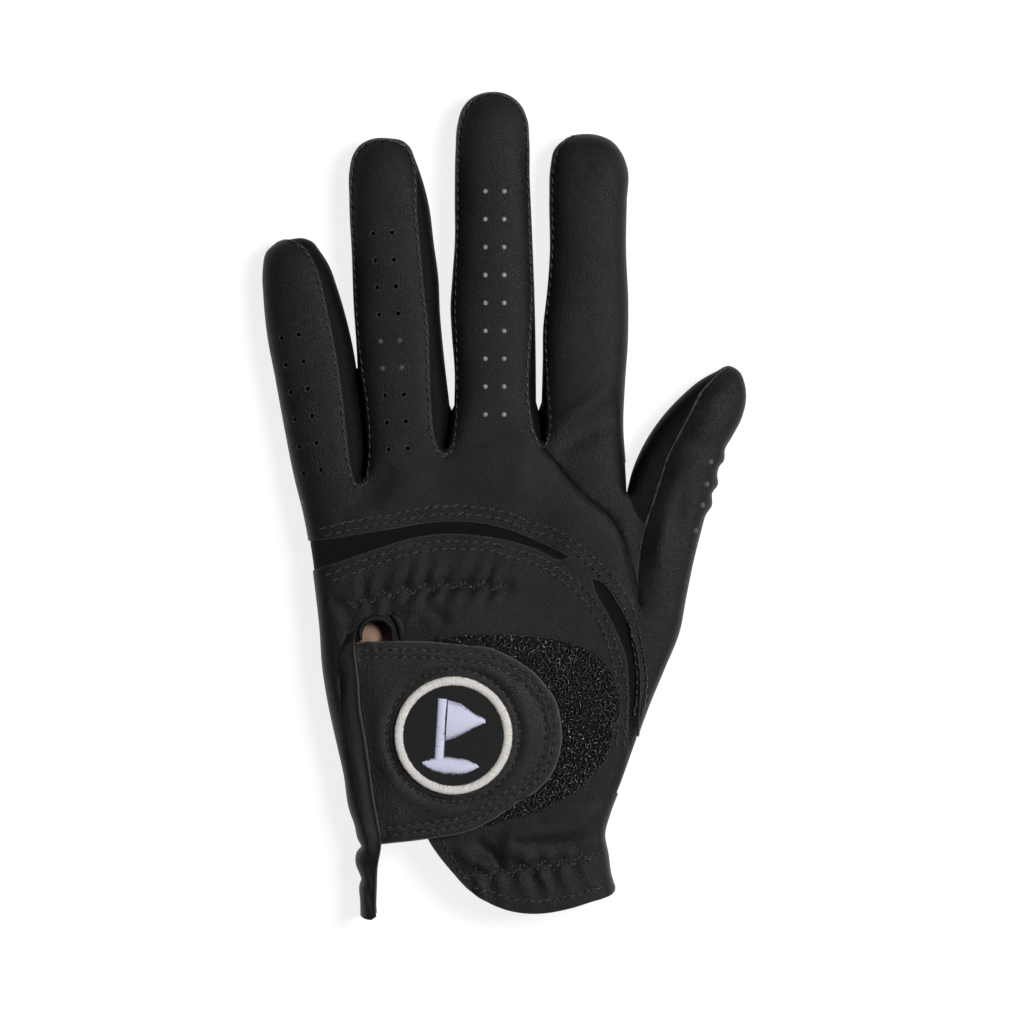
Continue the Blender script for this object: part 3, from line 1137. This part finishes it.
# ---- Palm leather that shows through the perforations -----------------------------------------------------
def perforation_backing(name, spots, where, material):
    """Where the back and the palm leather touch, the palm's reverse shows in each hole."""
    spots = np.array(spots)
    sides, depth = 12, 0.25
    heights, facing = surface_at(back_of_hand, spots)
    middle = np.column_stack([spots, heights]) + facing * 0.08
    angle = np.arange(sides) * math.pi / 6
    ring = np.column_stack([np.cos(angle), np.sin(angle), np.zeros(sides)]) * PERFORATION * 1.15
    points, polygons = [], []
    for centre in middle:
        base = len(points) * sides
        points += [centre + ring, centre + ring - (0, 0, depth)]
        upper = [base + k for k in range(sides)]
        lower = [base + sides + k for k in range(sides)]
        polygons += [upper, lower[::-1]]
        polygons += [[upper[k - sides + 1], upper[k], lower[k], lower[k - sides + 1]] for k in range(sides)]
    attach(mesh_object(name, np.vstack(points), polygons, [material]), where)


perforation_backing("middle_perforation_backing", middle_holes, "middle", TAUPE)
perforation_backing("ring_perforation_backing", ring_holes[8:12], "ring", TAUPE_DEEP)
perforation_backing("thumb_perforation_backing", thumb_holes, "thumb", TAUPE_DEEP)


# ---- The closure tab ------------------------------------------------------------------------------------
TAB_EDGE = [(-38.9, -35.4), (-31.3, -35.1), (-19.9, -35.1), (-10.5, -36.1), (-3.5, -36.9), (0.7, -38.7),
            (4.8, -41.1), (8.2, -43.7), (10.5, -46.5), (12.8, -49.7), (13.9, -53), (14.6, -56.7),
            (14.7, -60.8), (13.9, -65.1), (12.1, -69.4), (8.7, -73.3), (3.5, -76.7), (-3, -81.1),
            (-8.7, -84), (-19.6, -86.1), (-32.2, -87.6)]
HINGE_EDGE = [(-32.2, -87.6), (-32.8, -82), (-34.2, -74), (-35.6, -66), (-36.8, -58), (-37.9, -50),
              (-38.6, -42), (-38.9, -35.4)]
TAB_LEVEL = 2.75
TAB_THICKNESS = 1.25
ROOT_RUN = 6.0
TAB_ROWS = (2.2, 4.2)
BADGE_CENTRE = np.array([-13.3, -59.4])
BADGE_RADIUS = 15.2
BADGE_BORDER = 2.3
BADGE_STITCH = 17.1


def rounded_plate(flat, upper, lower, edge_round):
    """Upper and lower heights that close on each other in a rounded edge."""
    t = np.clip(flat.edge_distance / edge_round, 0, 1)
    belly = np.sqrt(1 - (1 - t) ** 2)
    middle = (upper + lower) / 2
    return middle + (upper - middle) * belly, middle + (lower - middle) * belly


def plate(name, flat, upper, lower, materials):
    """A closed plate over a pattern, whose two faces meet along its outline."""
    size = len(flat.points)
    rim = flat.edge_distance < ON_EDGE
    lower_index = np.where(rim, np.arange(size), np.arange(size) + size)
    points = np.vstack([np.column_stack([flat.points, upper]), np.column_stack([flat.points, lower])])
    polygons = np.vstack([flat.triangles, lower_index[flat.triangles[:, ::-1]]])
    used, local = np.unique(polygons, return_inverse=True)
    slots = np.concatenate([np.zeros(len(flat.triangles)), np.ones(len(flat.triangles))])
    edge = np.tile(flat.edge_distance, 2)[used] < EDGE_BAND
    return mesh_object(name, points[used], local.reshape(polygons.shape), materials, slots, edge=edge)


tab_edge, hinge_edge = smooth_line(TAB_EDGE), smooth_line(HINGE_EDGE)
tab_loop = np.vstack([tab_edge[:-1], hinge_edge[:-1]])
badge_rings = [circle(BADGE_CENTRE, r, 96) for r in (BADGE_RADIUS + 0.6, BADGE_STITCH)]
tab_rows = [parallel(tab_edge, -d)[2:-2] for d in TAB_ROWS]
tab = Pattern(tab_loop, tab_rows + badge_rings, rows=(0.1, 0.25, 0.5, 0.9), grid=1.3, seam_rows=(0.45,))
tab_ground = height_of(plain_back, tab.points)
root = ramp(nearest_on(tab.points, hinge_edge)[0], 0.0, ROOT_RUN)
edge_gap = nearest_on(tab.points, tab_edge)[0]
out = np.hypot(*(tab.points - BADGE_CENTRE).T)
swell = 0.35 * ramp(edge_gap, 0.2, 2.2) - 0.3 * bump(gap_to(tab.points, tab_rows), 0.55)
swell = swell - 0.32 * bump(out - BADGE_STITCH, 0.7) + 0.25 * bump(out - 19.2, 1.6)
ripple = 0.12 * np.sin(tab.points[:, 0] * 0.35 + 0.6) * np.sin(tab.points[:, 1] * 0.22)
swell = swell + ripple * ramp(edge_gap, 1, 6)
tab_base = tab_ground + TAB_LEVEL
tab_upper = tab_base + TAB_THICKNESS + swell - 0.5 * (1 - root)
tab_upper, tab_lower = rounded_plate(tab, tab_upper, tab_base - 0.2 * (1 - root), 0.5)
tab_piece = plate("closure_tab_leather", tab, tab_upper, tab_lower, [LEATHER_TAB, SUEDE_BLACK])
attach(tab_piece, "closure_tab")
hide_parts("tab_leather")
tab_top = tree_of(np.column_stack([tab.points, tab_upper]), tab.triangles)

tab_thread = Stitching()
for row in tab_rows:
    tab_thread.add(row, tab_top, 0.02)
tab_thread.add(circle(BADGE_CENTRE, BADGE_STITCH, 120), tab_top, 0.02, pitch=2.2, length=1.3)
tab_thread.pieces("tab_stitches", "closure_tab")


# ---- Badge ----------------------------------------------------------------------------------------------
def turned(points, angle, centre):
    """Points turned about zero and moved to a centre."""
    c, s = math.cos(angle), math.sin(angle)
    return np.asarray(points) @ np.array([[c, s], [-s, c]]) + centre


def badge():
    """A round woven patch with an overlocked border and a satin-stitched flag."""
    inner = BADGE_RADIUS - BADGE_BORDER
    flat = Pattern(circle(BADGE_CENTRE, inner + 0.5, 90)[:-1], [], rows=(0.3, 0.8), grid=1.2)
    ground = height_of(tab_top, flat.points)
    level = 0.9 + 0.12 * (1 - np.exp(-flat.edge_distance / 2))
    piece = plate("badge_twill_disc", flat, ground + level, ground + 0.05, [TWILL, TWILL])
    attach(piece, "closure_tab")
    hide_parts("badge_disc")

    threads, per_thread, sides = 150, 6, 14
    steps = threads * per_thread
    angle = np.arange(steps) * 2 * math.pi / steps
    middle = BADGE_RADIUS - BADGE_BORDER / 2
    heights = surface_at(tab_top, on_circle(BADGE_CENTRE, middle, angle))[0]
    ridge = 0.5 + 0.5 * np.cos(np.arange(steps) * 2 * math.pi / per_thread)
    uneven = np.repeat(random.uniform(-0.05, 0.05, threads), per_thread)
    swell_here = 1 + 0.17 * (ridge - 0.5) + uneven
    points = np.empty((steps, sides, 3))
    for k, turn in enumerate(np.arange(sides) * 2 * math.pi / sides):
        radius = middle + BADGE_BORDER / 2 * math.cos(turn) * swell_here
        lift = 0.72 + 0.72 * math.sin(turn) * swell_here
        leaning = angle + 0.25 * math.sin(turn) / middle
        points[:, k] = np.column_stack([on_circle(BADGE_CENTRE, radius, leaning), heights + lift])
    at = np.arange(steps)[:, None]
    k = np.arange(sides)
    following, after = (k + 1) % sides, (at + 1) % steps * sides
    quads = np.stack([at * sides + k, at * sides + following, after + following, after + k], axis=-1)
    quads = quads.reshape(-1, 4)[:, ::-1]
    piece = mesh_object("badge_overlocked_border", points.reshape(-1, 3), quads, [BORDER])
    attach(piece, "closure_tab")
    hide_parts("badge_border")


SATIN_SPACING = 0.26
SATIN_STEPS = 8
SATIN_LEVEL = 1.0


def satin(rails):
    """Satin stitches between two rails: parallel arched threads."""
    left, right = (smooth_line(rail, 0.4) for rail in rails)
    count = int(max(arc_length(left)[-1], arc_length(right)[-1]) / SATIN_SPACING)
    share = np.linspace(0, 1, count)
    a, b = (along_line(rail, share * arc_length(rail)[-1])[0] for rail in (left, right))
    a = a + random.normal(0, 0.07, a.shape) * (0.35, 1)
    b = b + random.normal(0, 0.07, b.shape) * (0.35, 1)
    t = np.linspace(0, 1, SATIN_STEPS)
    flat = a[:, None] * (1 - t)[:, None] + b[:, None] * t[:, None]
    width = np.linalg.norm(b - a, axis=1)
    arch = np.sin(np.pi * t) ** 0.45
    rise = (0.25 + np.minimum(0.75, width * 0.16))[:, None] * arch + random.normal(0, 0.02, count)[:, None]
    ground = surface_at(tab_top, flat.reshape(-1, 2))[0].reshape(count, SATIN_STEPS)
    return np.dstack([flat, ground + SATIN_LEVEL + rise])


PIN_TURN = -0.06
POLE_LEFT, POLE_RIGHT = [(-4.6, 9.2), (-4.6, -6.4)], [(-2.2, 9.2), (-2.2, -6.4)]
PENNANT_TOP = [(-1.8, 9), (1.4, 8.2), (4.6, 6.2), (7.8, 4.7)]
PENNANT_FOOT = [(-1.8, -1.4), (1.4, 0), (4.6, 2), (7.8, 3.7)]
GREEN_TOP = [(-7.4, -7.2), (-4.4, -6.1), (0, -5.7), (4.2, -6.2), (6.8, -7.3)]
GREEN_FOOT = [(-7.4, -7.8), (-4.4, -9.4), (0, -9.9), (4.2, -9.3), (6.8, -7.9)]


def emblem():
    """A flag on its pin, over a putting green, in padded satin stitch."""
    shapes = [(POLE_LEFT, POLE_RIGHT), (PENNANT_TOP, PENNANT_FOOT), (GREEN_TOP, GREEN_FOOT)]
    groups = [satin([turned(rail, PIN_TURN, BADGE_CENTRE) for rail in rails]) for rails in shapes]
    points, polygons = tubes(np.concatenate(groups), 0.19, taper=0.7)
    piece = mesh_object("badge_flag_embroidery", points, polygons, [SATIN])
    attach(piece, "closure_tab")
    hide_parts("badge_emblem")


badge()
emblem()


# ---- Hook and loop ---------------------------------------------------------------------------------------
LOOP_EDGE = [(-19.6, -34.8), (-9.2, -33.5), (4.8, -33.7), (13.3, -34.6), (17.6, -35.6), (20.4, -36.7),
             (23.3, -38.4), (26, -40.8), (28, -43.9), (29.4, -48.2), (30, -51.9), (29.4, -55.3),
             (28.2, -58), (27.4, -62), (26.3, -65.8), (23.3, -68.9), (20.4, -72.3), (17.8, -74.4),
             (13.7, -76.7), (9, -79), (5.3, -80.3), (0.4, -81.6), (-4.8, -83.1), (-10.5, -83.9),
             (-14.5, -80), (-16.4, -70), (-18.4, -50), (-19.6, -34.8)]
HOOK_EDGE = [(-16, -39.5), (-6, -40.4), (1.4, -43), (6.4, -47.4), (9.4, -53), (10, -60), (8.4, -66.6),
             (4.4, -71), (-3, -75.4), (-10, -78), (-16, -79), (-17, -60), (-16, -39.5)]


PAD_ROWS = (0.15, 0.45)


def scattered(loop, spacing, jitter):
    """Points on a shaken triangular grid inside an outline."""
    spots = triangular_grid(loop.min(0), loop.max(0), spacing)
    spots = spots + random.uniform(-jitter, jitter, spots.shape)
    spots = spots[inside(spots, loop)]
    return spots[nearest_on(spots, loop)[0] > 0.25]


def loop_pad():
    """The soft half of the closure: a backing sheet under a thick pile of small loops."""
    line = smooth_line(LOOP_EDGE)
    flat = Pattern(line[:-1], [], rows=PAD_ROWS, grid=1.1)
    ground = height_of(back_of_hand, flat.points) + OVERLAP_LIFT
    upper, lower = rounded_plate(flat, ground + 0.55, ground + 0.08, 0.3)
    backing = plate("loop_pad_backing", flat, upper, lower, [PILE, PILE])
    attach(backing, "hand")
    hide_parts("loop_pad")
    spots = scattered(line, 0.8, 0.34)
    heights = surface_at(tree_of(np.column_stack([flat.points, upper]), flat.triangles), spots)[0]
    count = len(spots)
    turn = random.uniform(0, math.pi, count)
    width, rise = random.uniform(0.35, 0.8, count), random.uniform(0.35, 1.1, count)
    lean = random.uniform(-0.3, 0.3, (count, 2))
    path = np.empty((count, 6, 3))
    for k, step in enumerate(np.linspace(0, math.pi, 6)):
        path[:, k, 0] = spots[:, 0] + width * math.cos(step) * np.cos(turn) + lean[:, 0] * math.sin(step)
        path[:, k, 1] = spots[:, 1] + width * math.cos(step) * np.sin(turn) + lean[:, 1] * math.sin(step)
        path[:, k, 2] = heights + rise * math.sin(step) - 0.03
    points, polygons = tubes(path, 0.135, sides=5, taper=1.0)
    attach(mesh_object("loop_pad_pile", points, polygons, [PILE_LOOP]), "hand")


def hook_pad():
    """The hooked half, under the tab: rows of small stiff hooks that point down."""
    line = smooth_line(HOOK_EDGE)
    flat = Pattern(line[:-1], [], rows=PAD_ROWS, grid=1.4)
    ground = height_of(plain_back, flat.points) + TAB_LEVEL
    upper, lower = rounded_plate(flat, ground + 0.05, ground - 0.45, 0.3)
    backing = plate("hook_pad_backing", flat, upper, lower, [ELASTIC, HOOK])
    attach(backing, "closure_tab")
    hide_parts("hook_pad")
    spots = scattered(line, 1.25, 0.06)
    heights = height_of(plain_back, spots) + TAB_LEVEL - 0.44
    count = len(spots)
    sign = np.where(np.round(spots[:, 1] / 1.08) % 2 > 0, 1.0, -1.0)
    shape = [(0, 0.05), (0, -0.35), (0.05, -0.6), (0.22, -0.75), (0.4, -0.66), (0.44, -0.5)]
    path = np.empty((count, len(shape), 3))
    for k, (across, drop) in enumerate(shape):
        path[:, k, 0] = spots[:, 0] + sign * across
        path[:, k, 1] = spots[:, 1]
        path[:, k, 2] = heights + drop
    points, polygons = tubes(path, 0.1, sides=5, taper=0.9)
    attach(mesh_object("hook_pad_hooks", points, polygons, [HOOK]), "closure_tab")


loop_pad()
hook_pad()


# ---- Bindings, elastics and facings ------------------------------------------------------------------------
BINDING_LINE = [(-38.9, -33.2), (-38.8, -35.9), (-38.4, -39.5), (-37.7, -45.5), (-37.2, -52.5),
                (-36, -59.5), (-34.3, -71.5), (-33.4, -77.5), (-32.6, -81.6), (-32, -85.9), (-32.1, -89),
                (-32.7, -92.2), (-33.2, -96.5), (-33.4, -100.2), (-33.3, -106.6)]
BINDING_WIDTH = 5.0
BINDING_FOLD = 0.5


def hinge_binding():
    """The folded leather edge that holds the tab's root, and runs on down the tail."""
    line = smooth_line(BINDING_LINE)
    measure = arc_length(line)
    above = 0.85 + (TAB_LEVEL + TAB_THICKNESS - 0.2) * ramp(measure, 0, 3) * (1 - ramp(measure, 50, 60))
    width = np.minimum(BINDING_WIDTH, 0.7 * nearest_on(line, smooth_line(LEFT_EDGE))[0])
    width = width * (0.4 + 0.6 * ramp(measure, 0, 6))
    rows = []
    for share in (0, 0.05, 0.12, 0.22, 0.36, 0.55, 0.78, 1.0):
        across = line - (parallel(line, 1.0) - line) * (width * share)[:, None]
        ground = height_of(back_of_hand, across)
        edge_drop = 0.3 * (1 - min(1, share / 0.12)) ** 2
        lift = above * (1 - ramp(share, 0.1, 1.0)) - edge_drop + 0.22 * (1 - share) + OVERLAP_LIFT * share
        crinkle = 0.25 * np.sin(measure * 0.9 + 3 * share) * ramp(measure, 45, 55) * math.sin(math.pi * share)
        rows.append(np.column_stack([across, ground + lift + crinkle]))
    under = [row - (0, 0, BINDING_FOLD) for row in rows[::-1]]
    section = np.stack(rows + under, axis=1)
    steps, sides, _ = section.shape
    edge = np.tile([0.8, 0.3] + [0] * (sides - 4) + [0.3, 0.8], steps)
    piece = mesh_object("anchor_strip_binding", section.reshape(-1, 3), tube_faces(1, steps, sides),
                        [LEATHER_BINDING], edge=edge)
    attach(piece, "hand")
    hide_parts("anchor_strip")


def keeper():
    """The bound edge of the round vent hole, doubled on the side of the hand."""
    steps = 40
    fade = np.sin(np.linspace(0.12, math.pi - 0.12, steps)) ** 0.35
    parts = []
    for radius, start, end, width, height in ((4.25, 200, -22, 1.5, 1.3), (6.5, 52, -14, 2.3, 1.7)):
        line = on_circle(HOLE_CENTRE, radius, np.radians(np.linspace(start, end, steps)))
        path = np.column_stack([line, height_of(plain_back, line) + 0.75])
        parts.append((*sweep(path, [oval(width * f, height * f) for f in fade]), 0))
    points, polygons, slots = join(parts)
    piece = mesh_object("vent_keeper_binding", points, polygons, [LEATHER_BLACK], slots)
    attach(piece, "hand")
    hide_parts("vent_keeper")


def tape(name, node, line, tree, level, width, thickness, material):
    """A flat tape that follows a surface, with slightly rounded edges."""
    line = smooth_line(line)
    path = np.column_stack([line, surface_at(tree, line)[0] + level])
    half, deep = width / 2, thickness / 2
    flat = half - 0.15
    section = [(half, 0), (flat, deep), (half * 0.5, deep), (0, deep), (-half * 0.5, deep),
               (-flat, deep), (-half, 0), (-flat, -deep), (0, -deep), (flat, -deep)]
    points, polygons = sweep(path, section)
    piece = mesh_object(name, points, polygons, [material])
    attach(piece, "hand")
    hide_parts(node)


hinge_binding()
keeper()
ELASTIC_THICKNESS = 0.6
for name, gather_line in (("knuckle_elastic", KNUCKLE_GATHER), ("heel_elastic", HEEL_GATHER)):
    tape(name + "_tape", name, gather_line, back_of_hand, level=-0.75, width=5.6,
         thickness=ELASTIC_THICKNESS, material=ELASTIC)
inside_palm = tree_of(form, palm_faces[~no_palm][:, ::-1])
elastic_low, elastic_high = mm_box("palm_elastic")
elastic_y = (elastic_low[1] + elastic_high[1]) / 2
palm_line = [(x, elastic_y) for x in np.linspace(elastic_low[0], elastic_high[0], 5)]
tape("palm_elastic_tape", "palm_elastic", palm_line, inside_palm, level=1.0, width=6.0,
     thickness=ELASTIC_THICKNESS, material=ELASTIC)
hem_line = parallel(vent_right, 2.4)[-58:-3]
tape("heel_hem_fold", "heel_hem_facing", hem_line[::3], back_of_hand, level=-0.62, width=3.6,
     thickness=0.5, material=LEATHER_BLACK)


# ---- Camera, light and floor -------------------------------------------------------------------------------
def studio():
    """A pale floor, a camera straight above and soft light, mostly from the right."""
    scene = bpy.context.scene
    scene.view_settings.view_transform = "Standard"
    camera = bpy.data.objects.new("camera", bpy.data.cameras.new("camera"))
    scene.collection.objects.link(camera)
    camera.data.lens = 200
    camera.data.sensor_width = 36
    view_width, view_level = 0.2626, 0.0065  # what the view takes in, at that height over the floor
    camera.location = (0, 0, view_level + view_width * camera.data.lens / camera.data.sensor_width)
    camera.data.clip_start = 0.01
    scene.camera = camera
    floor_material = Shader("pale_floor", roughness=0.9, specular=0.1)
    surface = floor_material.principled.inputs
    surface["Base Color"].default_value = (0.2, 0.2, 0.199, 1)
    surface["Emission Color"].default_value = (1, 1, 1, 1)
    surface["Emission Strength"].default_value = 0.84
    bpy.ops.mesh.primitive_plane_add(size=4)
    floor = bpy.context.object
    floor.name = "floor"
    floor.data.materials.append(floor_material.material)
    world = bpy.data.worlds.new("studio")
    scene.world = world
    world.use_nodes = True
    background = world.node_tree.nodes["Background"].inputs
    background["Color"].default_value = (1, 1, 1, 1)
    background["Strength"].default_value = 0.02

    def softbox(name, place, size, power):
        light = bpy.data.objects.new(name, bpy.data.lights.new(name, "AREA"))
        light.data.shape = "RECTANGLE"
        light.data.size, light.data.size_y = size
        light.data.energy = power
        light.location = place
        light.rotation_euler = (-Vector(place)).to_track_quat("-Z", "Y").to_euler()
        scene.collection.objects.link(light)

    softbox("key_light", (0.62, 0.2, 1.1), (0.4, 0.4), 17.5)
    softbox("fill_light", (-0.9, 0.3, 0.8), (0.8, 0.8), 0.5)
    softbox("low_light", (0.5, -0.9, 0.7), (0.7, 0.5), 2.0)


studio()
